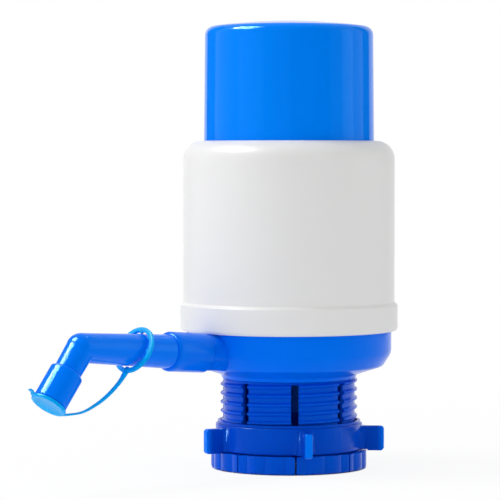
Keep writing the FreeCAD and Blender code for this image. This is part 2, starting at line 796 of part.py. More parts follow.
def tether_strap():
    """The thin strap from the tether ring's foot to the rim of the nozzle cap."""
    points = [strap_root()] + [Vector(*point) for point in strap_route] + [strap_foot()]
    path = smooth_path(points)
    start = points[0]
    along = (points[1] - points[0]).normalize()
    section = Part.Wire(Part.makeCircle(strap_width / 2, start, along))
    return path.makePipeShell([section], True, False)


def smooth_path(points):
    """Straight runs joined by arcs that touch them, each as large as its two runs allow."""
    edges = []
    here = points[0]
    for index in range(1, len(points) - 1):
        corner = points[index]
        back = points[index - 1] - corner
        ahead = points[index + 1] - corner
        reach = 0.45 * min(back.Length, ahead.Length)
        back.normalize()
        ahead.normalize()
        half_turn = (math.pi - back.getAngle(ahead)) / 2
        radius = reach / math.tan(half_turn)
        enter = corner + back * reach
        leave = corner + ahead * reach
        middle = corner + (back + ahead).normalize() * (radius / math.cos(half_turn) - radius)
        edges.append(Part.LineSegment(here, enter).toShape())
        edges.append(Part.Arc(enter, middle, leave).toShape())
        here = leave
    edges.append(Part.LineSegment(here, points[-1]).toShape())
    return Part.Wire(edges)


def nozzle_cap():
    """The soft cap in the nozzle: a plug, a thin disc and a pull tab, with a lug for the strap."""
    face = nozzle_length + free_gap
    plug_r = spout_bore_r - free_gap
    body = turned([
        (0, -plug_length), (plug_r, -plug_length, plug_corner_r), (plug_r, 0), (plug_disc_r, 0),
        (plug_disc_r, plug_disc_height, small_round), (0, plug_disc_height),
    ])
    tab = Part.makeBox(tab_reach, tab_width, tab_height, Vector(0, -tab_width / 2, 0))
    tip = [e for e in tab.Edges if is_along(e, Vector(0, 0, 1)) and e.CenterOfMass.x > tab_reach - 0.01]
    tab = tab.makeFillet(tab_width * 0.45, tip)
    body = body.fuse(tab).removeSplitter()
    body.rotate(Vector(0, 0, 0), Vector(0, 0, 1), plug_roll)
    return on_axis(body, elbow_point + nozzle_axis * face, nozzle_axis)


def strap_foot():
    """Where the strap leaves the nozzle cap's rim, opposite the pull tab."""
    reach = plug_disc_r + free_gap + strap_width / 2
    across = Rotation(Vector(0, 0, 1), nozzle_axis)
    roll = math.radians(plug_roll)
    offset = across.multVec(Vector(-reach * math.cos(roll), -reach * math.sin(roll), plug_disc_height / 2))
    return elbow_point + nozzle_axis * (nozzle_length + free_gap) + offset


parts = {
    "base_housing": base_housing,
    "neck_collet": neck_collet,
    "neck_seal": neck_seal,
    "riser": riser,
    "riser_seal": riser_seal,
    "air_deck": air_deck,
    "outlet_valve": lambda: umbrella_valve(deck_bottom_z, deck_top_z),
    "deck_seal": deck_seal,
    "bellows_clamp_ring": bellows_clamp_ring,
    "deck_screws": deck_screws,
    "body_shell": body_shell,
    "press_cap": press_cap,
    "bellows": bellows,
    "bellows_head": bellows_head,
    "intake_valve": lambda: umbrella_valve(bellows_top_z, bellows_top_z + head_height),
    "head_screws": head_screws,
    "slip_ring": slip_ring,
    "clamp_nut": clamp_nut,
    "spout_elbow": spout_elbow,
    "spout_seal": spout_seal,
    "tether_ring": tether_ring,
    "tether_strap": tether_strap,
    "nozzle_cap": nozzle_cap,
}

os.makedirs("parts", exist_ok=True)
for name, make in parts.items():
    shape = make()
    shape.exportStep("parts/" + name + ".step")
    print(name, shape.isValid(), len(shape.Solids), round(shape.Volume, 1), shape.BoundBox)
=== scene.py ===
import bpy
import json
import math
from mathutils import Matrix, Vector


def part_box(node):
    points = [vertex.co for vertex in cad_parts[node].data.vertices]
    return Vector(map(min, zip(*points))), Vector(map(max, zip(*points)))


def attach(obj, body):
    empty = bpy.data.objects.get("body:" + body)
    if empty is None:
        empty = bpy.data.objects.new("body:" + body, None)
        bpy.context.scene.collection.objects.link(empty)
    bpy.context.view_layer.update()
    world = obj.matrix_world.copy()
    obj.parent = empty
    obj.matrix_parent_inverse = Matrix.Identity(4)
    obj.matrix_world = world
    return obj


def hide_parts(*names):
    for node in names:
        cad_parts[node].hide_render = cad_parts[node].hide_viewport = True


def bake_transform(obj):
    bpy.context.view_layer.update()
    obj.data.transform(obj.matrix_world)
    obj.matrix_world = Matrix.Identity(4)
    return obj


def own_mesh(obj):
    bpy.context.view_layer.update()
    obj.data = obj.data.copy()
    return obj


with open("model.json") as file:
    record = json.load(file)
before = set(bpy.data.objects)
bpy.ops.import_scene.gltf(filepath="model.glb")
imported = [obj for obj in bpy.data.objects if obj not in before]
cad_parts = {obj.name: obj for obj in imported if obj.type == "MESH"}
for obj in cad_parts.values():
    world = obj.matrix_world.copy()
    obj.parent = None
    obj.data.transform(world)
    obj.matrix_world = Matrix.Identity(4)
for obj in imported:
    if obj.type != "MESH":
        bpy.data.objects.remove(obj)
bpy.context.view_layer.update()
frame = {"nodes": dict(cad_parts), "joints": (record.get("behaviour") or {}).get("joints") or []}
scene = bpy.context.scene
nodes = frame["nodes"]
joints = {joint["name"]: joint for joint in frame["joints"]}


def deselectAll():
    if bpy.context.object and bpy.context.object.mode != "OBJECT":
        bpy.ops.object.mode_set(mode="OBJECT")
    bpy.ops.object.select_all(action="DESELECT")


def pick(piece):
    deselectAll()
    bpy.context.view_layer.objects.active = piece
    piece.select_set(True)


def editAll(piece):
    pick(piece)
    bpy.ops.object.mode_set(mode="EDIT")
    bpy.ops.mesh.select_all(action="SELECT")


# Select the vertices that pass a test of their place, and leave edit mode on
def selectVerts(piece, test):
    bpy.ops.object.mode_set(mode="EDIT")
    bpy.ops.mesh.select_all(action="DESELECT")
    bpy.ops.mesh.select_mode(type="VERT")
    bpy.ops.object.mode_set(mode="OBJECT")
    for vert in piece.data.vertices:
        vert.select = test(vert.co)
    bpy.ops.object.mode_set(mode="EDIT")


def applyMod(piece, kind, **values):
    pick(piece)
    mod = piece.modifiers.new(kind.lower(), kind)
    for key, value in values.items():
        setattr(mod, key, value)
    bpy.ops.object.modifier_apply(modifier=mod.name)


def smoothen(piece, angle=32):
    pick(piece)
    bpy.ops.object.shade_smooth_by_angle(angle=math.radians(angle))


# Points of an outline; a corner is (r, z), or (r, z, radius) to be rounded in steps of some degrees
def roundedOutline(corners):
    step = 12
    points = [Vector(corner[:2]) for corner in corners]
    outline = []
    for index, corner in enumerate(corners):
        here = points[index]
        if len(corner) < 3:
            outline.append(here)
            continue
        back = (points[index - 1] - here).normalized()
        ahead = (points[(index + 1) % len(points)] - here).normalized()
        half = back.angle(ahead) / 2
        centre = here + (back + ahead).normalized() * corner[2] / math.sin(half)
        first = here + back * corner[2] / math.tan(half) - centre
        last = here + ahead * corner[2] / math.tan(half) - centre
        turn = first.angle_signed(last)
        count = max(2, round(abs(math.degrees(turn)) / step))
        for part in range(count + 1):
            spoke = first.copy()
            spoke.rotate(Matrix.Rotation(-turn * part / count, 2))
            outline.append(centre + spoke)
    return outline


# A piece drawn up ring by ring from a circle; closed joins the last ring to the first
def turnedPiece(name, corners, sides=128, closed=True):
    deselectAll()
    outline = roundedOutline(corners)
    tiny = 1e-5  # a point on the axis is a ring this small, until its vertices merge
    radius = max(outline[0].x, tiny)
    height = outline[0].y
    bpy.ops.mesh.primitive_circle_add(vertices=sides, radius=radius, location=(0, 0, height))
    piece = bpy.context.object
    piece.name = name
    bpy.ops.object.transform_apply(location=True, rotation=False, scale=False)
    editAll(piece)
    for point in outline[1:]:
        newRadius = max(point.x, tiny)
        lift = (0, 0, point.y - height)
        bpy.ops.mesh.extrude_edges_move(TRANSFORM_OT_translate={"value": lift})
        grow = newRadius / radius
        bpy.ops.transform.resize(value=(grow, grow, 1), center_override=(0, 0, point.y))
        radius = newRadius
        height = point.y
    if closed:
        bpy.ops.mesh.select_all(action="DESELECT")
        bpy.ops.mesh.select_non_manifold()
        bpy.ops.mesh.bridge_edge_loops()
    bpy.ops.mesh.select_all(action="SELECT")
    bpy.ops.mesh.remove_doubles(threshold=tiny * 3)
    bpy.ops.mesh.normals_make_consistent(inside=False)
    bpy.ops.object.mode_set(mode="OBJECT")
    return piece


# Put a piece made about +Z on another axis, with its place in its mesh
def layOn(piece, point, direction):
    pick(piece)
    piece.rotation_mode = "QUATERNION"
    piece.rotation_quaternion = Vector((0, 0, 1)).rotation_difference(direction)
    piece.location = point
    bpy.ops.object.transform_apply(location=True, rotation=True, scale=True)


def joinPieces(name, pieces):
    deselectAll()
    for piece in pieces:
        piece.select_set(True)
    bpy.context.view_layer.objects.active = pieces[0]
    bpy.ops.object.join()
    pieces[0].name = name
    return pieces[0]


# Give a piece its material and the body that it rides, and hide the node that it replaces
def dress(piece, body, material, replaced):
    piece.data.materials.clear()
    piece.data.materials.append(material)
    if body:
        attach(piece, body)
    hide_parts(replaced)


# Shared surface effects

def newGroup(name, inputs, outputs):
    group = bpy.data.node_groups.new(name, "ShaderNodeTree")
    for label, kind, value in inputs:
        socket = group.interface.new_socket(name=label, in_out="INPUT", socket_type=kind)
        if value is not None:
            socket.default_value = value
    for label, kind in outputs:
        group.interface.new_socket(name=label, in_out="OUTPUT", socket_type=kind)
    return group, group.nodes.new("NodeGroupInput"), group.nodes.new("NodeGroupOutput")


def mathNode(tree, operation, first, second):
    node = tree.nodes.new("ShaderNodeMath")
    node.operation = operation
    for socket, value in zip(node.inputs, (first, second)):
        if isinstance(value, (int, float)):
            socket.default_value = value
        else:
            tree.links.new(value, socket)
    return node.outputs[0]


def noiseNode(tree, vector, scale, detail=2.0, distortion=0.0):
    node = tree.nodes.new("ShaderNodeTexNoise")
    node.inputs["Scale"].default_value = scale
    node.inputs["Detail"].default_value = detail
    node.inputs["Distortion"].default_value = distortion
    tree.links.new(vector, node.inputs["Vector"])
    return node.outputs["Fac"]


# Flow clouds, faint handling scuffs and the orange peel of a polished mould
def mouldedSkinGroup():
    grain = {"cloud": 22.0, "cloudWarp": 0.6, "streak": 900.0, "streakDetail": 3.0, "streakWarp": 0.4,
             "streakStretch": (1.0, 1.0, 0.12), "scuffSharpness": 4.0, "scuffPatch": 60.0, "peel": 420.0,
             "streakInPeel": 0.25}
    inputs = [("Vector", "NodeSocketVector", None), ("Colour", "NodeSocketColor", (0.5, 0.5, 0.5, 1)),
              ("Deep Colour", "NodeSocketColor", (0.3, 0.3, 0.3, 1)), ("Flow", "NodeSocketFloat", 0.2),
              ("Gloss", "NodeSocketFloat", 0.1), ("Scuff", "NodeSocketFloat", 0.05)]
    outputs = [("Colour", "NodeSocketColor"), ("Roughness", "NodeSocketFloat"),
               ("Height", "NodeSocketFloat")]
    group, given, result = newGroup("mouldedSkin", inputs, outputs)
    link = group.links.new
    vector = given.outputs["Vector"]
    cloud = noiseNode(group, vector, grain["cloud"], distortion=grain["cloudWarp"])
    cloudShare = mathNode(group, "MULTIPLY", cloud, given.outputs["Flow"])
    mix = group.nodes.new("ShaderNodeMix")
    mix.data_type = "RGBA"
    link(cloudShare, mix.inputs["Factor"])
    link(given.outputs["Colour"], mix.inputs["A"])
    link(given.outputs["Deep Colour"], mix.inputs["B"])
    link(mix.outputs["Result"], result.inputs["Colour"])
    stretch = group.nodes.new("ShaderNodeMapping")
    stretch.inputs["Scale"].default_value = grain["streakStretch"]
    link(vector, stretch.inputs["Vector"])
    streak = noiseNode(group, stretch.outputs["Vector"], grain["streak"], grain["streakDetail"],
                       grain["streakWarp"])
    sharp = mathNode(group, "POWER", streak, grain["scuffSharpness"])
    scuff = mathNode(group, "MULTIPLY", sharp, given.outputs["Scuff"])
    patch = mathNode(group, "MULTIPLY", scuff, noiseNode(group, vector, grain["scuffPatch"]))
    link(mathNode(group, "ADD", patch, given.outputs["Gloss"]), result.inputs["Roughness"])
    peel = noiseNode(group, vector, grain["peel"], 1.0)
    streakHeight = mathNode(group, "MULTIPLY", streak, grain["streakInPeel"])
    link(mathNode(group, "ADD", peel, streakHeight), result.inputs["Height"])
    return group


skinGroup = mouldedSkinGroup()


# Painted highlight: thin tips that stand out from the pump's axis get a lighter base colour, standing in for
# the light that gathers in clear blue plastic
def paintedTipHighlight(tree, coords, colour, tip):
    flat = tree.nodes.new("ShaderNodeVectorMath")
    flat.operation = "MULTIPLY"
    flat.inputs[1].default_value = (1, 1, 0)
    tree.links.new(coords.outputs["Object"], flat.inputs[0])
    reach = tree.nodes.new("ShaderNodeVectorMath")
    reach.operation = "LENGTH"
    tree.links.new(flat.outputs["Vector"], reach.inputs[0])
    share = tree.nodes.new("ShaderNodeMapRange")
    share.inputs["From Min"].default_value = tip["near"]
    share.inputs["From Max"].default_value = tip["far"]
    tree.links.new(reach.outputs["Value"], share.inputs["Value"])
    mix = tree.nodes.new("ShaderNodeMix")
    mix.data_type = "RGBA"
    tree.links.new(share.outputs["Result"], mix.inputs["Factor"])
    tree.links.new(colour, mix.inputs["A"])
    mix.inputs["B"].default_value = (*tip["colour"], 1)
    return mix.outputs["Result"]


# What a look has where its own dictionary says nothing
plainLook = {"flow": 0.35, "scuff": 0.25, "peel": 0.04, "peelHeight": 0.0002, "ior": 1.49, "specular": 0.5,
             "tint": (1, 1, 1), "depth": 0.0, "depthRadius": (0.2, 0.5, 1.0), "depthScale": 0.002}


# A moulded plastic or rubber from its dictionary of settings
def plastic(name, look):
    look = {**plainLook, **look}
    material = bpy.data.materials.new(name)
    material.use_nodes = True
    tree = material.node_tree
    shader = tree.nodes["Principled BSDF"]
    coords = tree.nodes.new("ShaderNodeTexCoord")
    skin = tree.nodes.new("ShaderNodeGroup")
    skin.node_tree = skinGroup
    tree.links.new(coords.outputs["Object"], skin.inputs["Vector"])
    skin.inputs["Colour"].default_value = (*look["colour"], 1)
    skin.inputs["Deep Colour"].default_value = (*look["deep"], 1)
    skin.inputs["Flow"].default_value = look["flow"]
    skin.inputs["Gloss"].default_value = look["gloss"]
    skin.inputs["Scuff"].default_value = look["scuff"]
    colour = skin.outputs["Colour"]
    # a look with a tip gets a painted highlight, a lighter base colour towards the tips
    if "tip" in look:
        colour = paintedTipHighlight(tree, coords, colour, look["tip"])
    tree.links.new(colour, shader.inputs["Base Color"])
    tree.links.new(skin.outputs["Roughness"], shader.inputs["Roughness"])
    bump = tree.nodes.new("ShaderNodeBump")
    bump.inputs["Strength"].default_value = look["peel"]
    bump.inputs["Distance"].default_value = look["peelHeight"]
    tree.links.new(skin.outputs["Height"], bump.inputs["Height"])
    tree.links.new(bump.outputs["Normal"], shader.inputs["Normal"])
    shader.inputs["IOR"].default_value = look["ior"]
    shader.inputs["Specular IOR Level"].default_value = look["specular"]
    shader.inputs["Specular Tint"].default_value = (*look["tint"], 1)
    shader.inputs["Subsurface Weight"].default_value = look["depth"]
    shader.inputs["Subsurface Radius"].default_value = look["depthRadius"]
    shader.inputs["Subsurface Scale"].default_value = look["depthScale"]
    return material


blueTint = (0.12, 0.65, 1.0)  # keeps the gloss of the clear blues from going grey
looks = {
    "capBlue": {"colour": (0.0, 0.235, 1.0), "deep": (0.0, 0.19, 0.97), "gloss": 0.07, "tint": blueTint,
                "ior": 1.22},
    "shellWhite": {"colour": (0.85, 0.848, 0.842), "deep": (0.81, 0.808, 0.802), "gloss": 0.3,
                   "ior": 1.22, "specular": 0.22},
    "baseBlue": {"colour": (0.0, 0.175, 0.96), "deep": (0.0, 0.14, 0.88), "gloss": 0.14, "tint": blueTint,
                 "ior": 1.22},
    "colletBlue": {"colour": (0.0, 0.095, 0.70), "deep": (0.0, 0.07, 0.58), "gloss": 0.12,
                   "tint": blueTint, "ior": 1.25, "depth": 0.2},
    "nutBlue": {"colour": (0.0, 0.075, 0.62), "deep": (0.0, 0.055, 0.52), "gloss": 0.2, "tint": blueTint,
                "ior": 1.25, "depth": 0.2,
                # painted highlight: the nut's wing tips get a lighter base colour
                "tip": {"near": 0.0402, "far": 0.0431, "colour": (0.0, 0.20, 0.98)}},
    "spoutBlue": {"colour": (0.0, 0.20, 1.0), "deep": (0.0, 0.16, 0.92), "gloss": 0.08, "tint": blueTint,
                  "ior": 1.22, "peel": 0.01},
    "tetherBlue": {"colour": (0.0, 0.42, 0.95), "deep": (0.0, 0.34, 0.88), "gloss": 0.28, "depth": 0.2,
                   "tint": blueTint, "ior": 1.22},
    "innerBlue": {"colour": (0.0, 0.16, 0.85), "deep": (0.0, 0.12, 0.75), "gloss": 0.35, "tint": blueTint,
                  "ior": 1.22},
    "sealPale": {"colour": (0.62, 0.62, 0.60), "deep": (0.50, 0.50, 0.48), "gloss": 0.5},
    "siliconeClear": {"colour": (0.72, 0.76, 0.77), "deep": (0.62, 0.66, 0.68), "gloss": 0.3,
                      "depth": 0.4},
    "bellowsMilk": {"colour": (0.74, 0.76, 0.77), "deep": (0.64, 0.66, 0.68), "gloss": 0.35,
                    "depth": 0.3},
}
materials = {name: plastic(name, look) for name, look in looks.items()}


# Zinc-plated steel with fine marks and a faint yellow bloom
def screwSteel():
    steel = {"zinc": (0.62, 0.62, 0.60), "bloom": (0.74, 0.72, 0.64), "bloomScale": 700.0,
             "markScale": 5000.0, "roughness": 0.5}
    material = bpy.data.materials.new("screwSteel")
    material.use_nodes = True
    tree = material.node_tree
    shader = tree.nodes["Principled BSDF"]
    coords = tree.nodes.new("ShaderNodeTexCoord")
    bloom = noiseNode(tree, coords.outputs["Object"], steel["bloomScale"])
    ramp = tree.nodes.new("ShaderNodeValToRGB")
    ramp.color_ramp.elements[0].color = (*steel["zinc"], 1)
    ramp.color_ramp.elements[1].color = (*steel["bloom"], 1)
    tree.links.new(bloom, ramp.inputs["Fac"])
    tree.links.new(ramp.outputs["Color"], shader.inputs["Base Color"])
    marks = noiseNode(tree, coords.outputs["Object"], steel["markScale"], 1.0)
    tree.links.new(mathNode(tree, "MULTIPLY", marks, steel["roughness"]), shader.inputs["Roughness"])
    shader.inputs["Metallic"].default_value = 1.0
    return material


materials["screwSteel"] = screwSteel()
print("materials made:", len(materials))


# Press cap and white shell

def pressCap():
    low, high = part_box("press_cap")
    size = {"radius": 0.0385, "topRadius": 0.038, "wall": 0.0022, "dome": 0.0029, "corner": 0.004,
            "stopLow": 0.1425, "stopHigh": 0.1451, "stopRadius": 0.0407, "guideHigh": 0.119,
            "guideEdge": 0.0005, "domeRings": (0, 0.25, 0.5, 0.75, 0.9)}
    guideRadius = high.x
    innerRadius = size["radius"] - size["wall"]
    edgeZ = high.z - size["dome"]
    dome = [(size["topRadius"] * share, high.z - size["dome"] * share ** 2)
            for share in size["domeRings"]]  # the shallow dome is a parabola close to its sphere
    ceiling = [(radius, height - size["wall"]) for radius, height in dome]
    side = [(size["topRadius"], edgeZ, size["corner"]), (size["radius"], size["stopHigh"]),
            (size["stopRadius"], size["stopHigh"]), (size["stopRadius"], size["stopLow"]),
            (size["radius"], size["stopLow"]), (size["radius"], size["guideHigh"]),
            (guideRadius, size["guideHigh"], size["guideEdge"]), (guideRadius, low.z, size["guideEdge"]),
            (innerRadius, low.z), (innerRadius, edgeZ - size["wall"], size["corner"] / 2)]
    piece = turnedPiece("pressCap", dome + side + ceiling[::-1], closed=False)
    smoothen(piece)
    dress(piece, "plunger", materials["capBlue"], "press_cap")


def bodyShell():
    low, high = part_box("body_shell")
    size = {"radius": 0.04775, "wall": 0.0022, "hole": 0.03885, "shoulder": 0.0083, "rimHeight": 0.0127,
            "rimStep": 0.0010, "rimCorner": 0.0016, "ledgeEdge": 0.0006, "ledgeFoot": 0.0002,
            "lipRadius": 0.0005}
    rimRadius = high.x
    rimTop = low.z + size["rimHeight"]
    innerRadius = size["radius"] - size["wall"]
    innerTop = high.z - size["wall"]
    outline = [(innerRadius, low.z), (rimRadius, low.z, size["rimCorner"]),
               (rimRadius, rimTop - size["rimStep"], size["ledgeEdge"]),
               (size["radius"] + size["ledgeFoot"], rimTop, size["ledgeFoot"]),
               (size["radius"], rimTop + size["ledgeFoot"]), (size["radius"], high.z, size["shoulder"]),
               (size["hole"], high.z, size["lipRadius"]), (size["hole"], innerTop),
               (innerRadius, innerTop, size["shoulder"] - size["wall"])]
    piece = turnedPiece("bodyShell", outline, sides=160)
    smoothen(piece)
    dress(piece, "housing", materials["shellWhite"], "body_shell")


pressCap()
bodyShell()
print("cap and shell made")


# Base bowl with the spout's socket

spoutAxis = Vector(joints["spout_swivel"]["axis"])
socketMouth = Vector(joints["spout_swivel"]["pos_m"])
nozzleAxis = Vector(joints["nozzle_cap_pull"]["axis"])


def baseHousing():
    size = {"radius": 0.0464, "ledge": 0.062, "bowlLow": 0.052, "coneOuter": (0.0426, 0.046),
            "coneInner": (0.0308, 0.0422), "skirt": 0.0303, "skirtLow": 0.0405, "bore": 0.0294,
            "upstand": 0.04535, "upstandBore": 0.04295, "upstandTop": 0.072, "floorLow": 0.046,
            "floorTop": 0.0485, "skirtRound": 0.0003, "innerRound": 0.002, "outerRound": 0.003,
            "bowlRound": 0.006, "upstandRound": 0.0005, "floorRound": 0.003, "rootRadius": 0.0078,
            "rootLength": 0.034, "collarRadius": 0.0087, "collarLength": 0.0211, "valleyRound": 0.0006,
            "stepRound": 0.0008, "mouthRound": 0.0016, "mouthBore": 0.00753, "boreRound": 0.0003,
            "boreDepth": 0.0158}
    bowl = turnedPiece("baseHousing", [
        (0, size["floorLow"]), (size["bore"], size["floorLow"]), (size["bore"], size["skirtLow"]),
        (size["skirt"], size["skirtLow"], size["skirtRound"]), (*size["coneInner"], size["innerRound"]),
        (*size["coneOuter"], size["outerRound"]), (size["radius"], size["bowlLow"], size["bowlRound"]),
        (size["radius"], size["ledge"]), (size["upstand"], size["ledge"]),
        (size["upstand"], size["upstandTop"], size["upstandRound"]),
        (size["upstandBore"], size["upstandTop"]),
        (size["upstandBore"], size["floorTop"], size["floorRound"]), (0, size["floorTop"])], closed=False)
    root = size["rootLength"]
    collar = size["collarLength"]
    socket = turnedPiece("socket", [
        (0, -root), (size["rootRadius"], -root), (size["rootRadius"], -collar, size["valleyRound"]),
        (size["collarRadius"], -collar, size["stepRound"]), (size["collarRadius"], 0, size["mouthRound"]),
        (size["mouthBore"], 0, size["boreRound"]), (size["mouthBore"], -size["boreDepth"]),
        (0, -size["boreDepth"])], sides=64, closed=False)
    layOn(socket, socketMouth, spoutAxis)
    applyMod(bowl, "BOOLEAN", operation="UNION", solver="EXACT", object=socket)
    bpy.data.objects.remove(socket)
    smoothen(bowl)
    dress(bowl, "housing", materials["baseBlue"], "base_housing")


baseHousing()


# Spout with its bend, nozzle and sleeve

# A tube with a round end and the nozzle with its sleeve, joined into one bent spout
def spoutElbow():
    size = {"run": 0.04906, "shoulder": 0.0157, "stub": 0.00595, "stubEnd": 0.0327, "stubRound": 0.0008,
            "mouth": 0.00745, "elbow": 0.0064, "tip": 0.00626, "tipRingBack": 0.001, "nozzle": 0.006,
            "length": 0.028, "sleeveStart": 0.0124, "sleeve": 0.0074, "chamfer": 0.0008, "edge": 0.0005,
            "startRound": 0.0002, "bore": 0.004, "boreDepth": 0.014,
            "taperRings": (0, 0.06, 0.12, 0.2, 0.3, 1)}
    slack = 0.0001  # keeps the two tubes' faces apart where they join
    elbowPoint = socketMouth + spoutAxis * size["run"]
    tipZ = size["run"] + size["elbow"]
    tipRadius = size["tip"]
    start = size["sleeveStart"]
    edge = size["edge"]
    tube = turnedPiece("spoutElbow", [
        (0, -size["stubEnd"]), (size["stub"], -size["stubEnd"], size["stubRound"]),
        (size["stub"], -size["shoulder"]), (size["mouth"], -size["shoulder"]), (size["mouth"], 0),
        (tipRadius + slack, size["run"] - size["tipRingBack"]), (tipRadius, tipZ, tipRadius - slack),
        (0, tipZ)], sides=96, closed=False)
    layOn(tube, socketMouth, spoutAxis)
    wide = size["elbow"] - slack
    taper = [(wide - (wide - size["nozzle"]) * share, start * share)
             for share in size["taperRings"]]  # close rings by the elbow keep the gloss straight
    nozzle = turnedPiece("nozzle", [
        (0, 0), *taper, (size["sleeve"] - size["chamfer"], start, size["startRound"]),
        (size["sleeve"], start + size["chamfer"], edge),
        (size["sleeve"], start + size["chamfer"] + edge * 2), (size["sleeve"], size["length"] - edge * 2),
        (size["sleeve"], size["length"], edge), (size["bore"], size["length"], edge / 2),
        (size["bore"], size["length"] - size["boreDepth"]), (0, size["length"] - size["boreDepth"])],
        sides=96, closed=False)
    layOn(nozzle, elbowPoint, nozzleAxis)
    applyMod(tube, "BOOLEAN", operation="UNION", solver="EXACT", object=nozzle)
    bpy.data.objects.remove(nozzle)
    smoothen(tube, 40)
    dress(tube, "spout", materials["spoutBlue"], "spout_elbow")
    return elbowPoint


elbowPoint = spoutElbow()
print("base and spout made")


# Soft nozzle cap, tether ring and strap

def nozzleCap():
    size = {"face": 0.0283, "plug": 0.0037, "plugLength": 0.007, "disc": 0.008, "thick": 0.0014,
            "plugRound": 0.0009, "neck": 0.0004, "discRound": 0.0005, "lipRound": 0.0006,
            "lipInner": 0.8, "dishOuter": 0.72, "dish": 0.0002, "roll": 21.0, "tabReach": 0.0108,
            "tabHalf": 0.0018, "tabThick": 0.0008, "tabLift": 0.0001, "tabTip": 0.0015,
            "tipShape": (1, 0.72, 0.7), "tipDroop": (-0.0003, 0, -0.0007), "tabBevel": 0.0003}
    piece = turnedPiece("nozzleCap", [
        (0, -size["plugLength"]), (size["plug"], -size["plugLength"], size["plugRound"]),
        (size["plug"], -size["neck"]), (size["plug"] + size["neck"], 0),
        (size["disc"], 0, size["discRound"]), (size["disc"], size["thick"], size["lipRound"]),
        (size["disc"] * size["lipInner"], size["thick"]),
        (size["disc"] * size["dishOuter"], size["thick"] - size["dish"]),
        (0, size["thick"] - size["dish"])], sides=72, closed=False)
    deselectAll()
    bpy.ops.mesh.primitive_cube_add(size=1)
    tab = bpy.context.object
    length = size["tabReach"] - size["disc"] * size["lipInner"]
    tab.scale = (length, size["tabHalf"] * 2, size["tabThick"])
    tab.location = (size["tabReach"] - length / 2, 0, size["tabThick"] / 2 + size["tabLift"])
    bpy.ops.object.transform_apply(location=True, rotation=True, scale=True)
    editAll(tab)
    bpy.ops.mesh.subdivide(number_cuts=5)
    selectVerts(tab, lambda place: place.x > size["tabReach"] - size["tabTip"])
    bpy.ops.transform.resize(value=size["tipShape"])
    bpy.ops.transform.translate(value=size["tipDroop"])
    bpy.ops.object.mode_set(mode="OBJECT")
    applyMod(tab, "BEVEL", width=size["tabBevel"], segments=2, limit_method="ANGLE",
             angle_limit=math.radians(50))
    applyMod(tab, "SUBSURF", levels=1, render_levels=1)
    applyMod(piece, "BOOLEAN", operation="UNION", solver="EXACT", object=tab)
    bpy.data.objects.remove(tab)
    editAll(piece)
    bpy.ops.transform.rotate(value=math.radians(-size["roll"]), orient_axis="Z", center_override=(0, 0, 0))
    bpy.ops.object.mode_set(mode="OBJECT")
    layOn(piece, elbowPoint + nozzleAxis * size["face"], nozzleAxis)
    smoothen(piece, 40)
    dress(piece, "nozzle_plug", materials["tetherBlue"], "nozzle_cap")


def tetherRing():
    size = {"outer": 0.0108, "band": 0.0021, "height": 0.0016, "back": 0.0302, "tilt": 24.0,
            "innerRound": 0.0003, "outerRound": 0.0005, "teeth": 8, "toothWidth": 0.0016,
            "toothFoot": 0.0080, "toothSink": 0.0006, "toothHeight": 0.8, "toothBevel": 0.0002}
    half = size["height"] / 2
    inner = size["outer"] - size["band"]
    ring = turnedPiece("tetherRing", [
        (inner, -half, size["innerRound"]), (size["outer"], -half, size["outerRound"]),
        (size["outer"], half, size["outerRound"]), (inner, half, size["innerRound"])], sides=96)
    tilt = Matrix.Rotation(math.radians(size["tilt"]), 3, "Y")
    pieces = [ring]
    for index in range(size["teeth"]):
        deselectAll()
        bpy.ops.mesh.primitive_cube_add(size=1)
        tooth = bpy.context.object
        length = inner + size["toothSink"] - size["toothFoot"]
        tooth.scale = (length, size["toothWidth"], size["height"] * size["toothHeight"])
        tooth.location = (size["toothFoot"] + length / 2, 0, 0)
        bpy.ops.object.transform_apply(location=True, rotation=True, scale=True)
        applyMod(tooth, "BEVEL", width=size["toothBevel"], segments=2)
        editAll(tooth)
        turn = math.tau * index / size["teeth"]
        bpy.ops.transform.rotate(value=turn, orient_axis="Z", center_override=(0, 0, 0))
        bpy.ops.object.mode_set(mode="OBJECT")
        pieces.append(tooth)
    ring = joinPieces("tetherRing", pieces)
    layOn(ring, elbowPoint - spoutAxis * size["back"], tilt @ spoutAxis)
    smoothen(ring, 40)
    dress(ring, "spout", materials["tetherBlue"], "tether_ring")
    down = tilt @ Vector((-spoutAxis.z, 0, spoutAxis.x))
    return elbowPoint - spoutAxis * size["back"] + down * (size["outer"] - size["band"] / 2)


# A round strap that thins towards the cap, along the route of the solid, given in millimetres
def tetherStrap(root):
    size = {"radius": 0.0009, "face": 0.0283, "roll": 21.0, "reach": 0.0078, "footLift": 0.0007}
    route = [(-101.0, -0.5, 45.8), (-106.4, -1.2, 41.6), (-113.0, -2.0, 37.7),
             (-119.3, -2.9, 35.2), (-125.2, -3.8, 33.4), (-130.6, -4.4, 32.8)]
    widths = [1.5, 1.05, 1.0, 0.92, 0.8, 0.64, 0.52, 0.6]  # shares of the radius from ring to cap
    roll = math.radians(size["roll"])
    across = Vector((0, 0, 1)).rotation_difference(nozzleAxis)
    reach = size["reach"]
    foot = across @ Vector((-reach * math.cos(roll), -reach * math.sin(roll), size["footLift"]))
    foot += elbowPoint + nozzleAxis * size["face"]
    points = [root] + [Vector(point) / 1000 for point in route] + [foot]
    curve = bpy.data.curves.new("tetherStrap", "CURVE")
    curve.dimensions = "3D"
    spline = curve.splines.new("NURBS")
    spline.points.add(len(points) - 1)
    for place, point, width in zip(spline.points, points, widths):
        place.co = (*point, 1)
        place.radius = width
    spline.order_u = 3
    spline.use_endpoint_u = True
    spline.resolution_u = 12
    curve.bevel_depth = size["radius"]
    curve.bevel_resolution = 5
    curve.use_fill_caps = True
    strap = bpy.data.objects.new("tetherStrap", curve)
    scene.collection.objects.link(strap)
    pick(strap)
    bpy.ops.object.convert(target="MESH")
    strap = bpy.context.object
    smoothen(strap, 50)
    dress(strap, None, materials["tetherBlue"], "tether_strap")
    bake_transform(strap)


